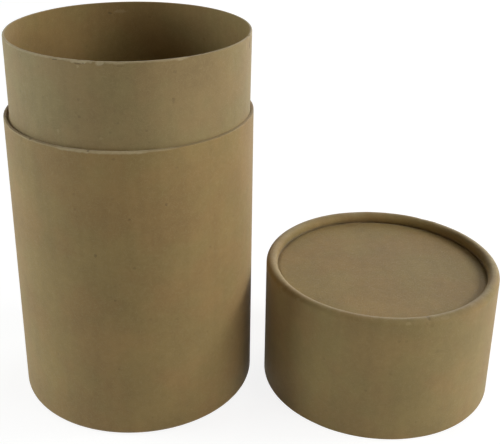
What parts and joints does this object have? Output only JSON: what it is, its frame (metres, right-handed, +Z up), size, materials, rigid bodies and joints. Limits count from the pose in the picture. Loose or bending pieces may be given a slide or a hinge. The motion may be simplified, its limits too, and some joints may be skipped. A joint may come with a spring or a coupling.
{
  "type": "paperboard tube container",
  "caption": "Round kraft paperboard container: a body tube with a curled foot, a thinner neck tube standing out of it, and a slip-on lid with a curled, recessed top.",
  "frame": {"origin": "centre of the container's foot, on the surface it stands on", "axes": "+Z up along the container's axis, out of its mouth; +X towards the lid, which stands beside the container with its open rim down"},
  "size_m": [0.1775, 0.086, 0.1345],
  "materials": {
    "kraft_board": "brown kraft paper, matt with a faint sheen",
    "kraft_neck": "brown kraft paper, matt with a faint sheen",
    "kraft_disc": "brown kraft paper, matt"
  },
  "bodies": {
    "container": {"body_tube": "kraft_board", "neck_tube": "kraft_neck", "base_disc": "kraft_disc"},
    "lid": {"lid_tube": "kraft_board", "lid_disc": "kraft_disc"}
  },
  "joints": [
    {"name": "lid_lift", "type": "slide", "parent": "container", "child": "lid", "axis": [0, 0, 1], "range_m": [0, 0.14]}
  ]
}
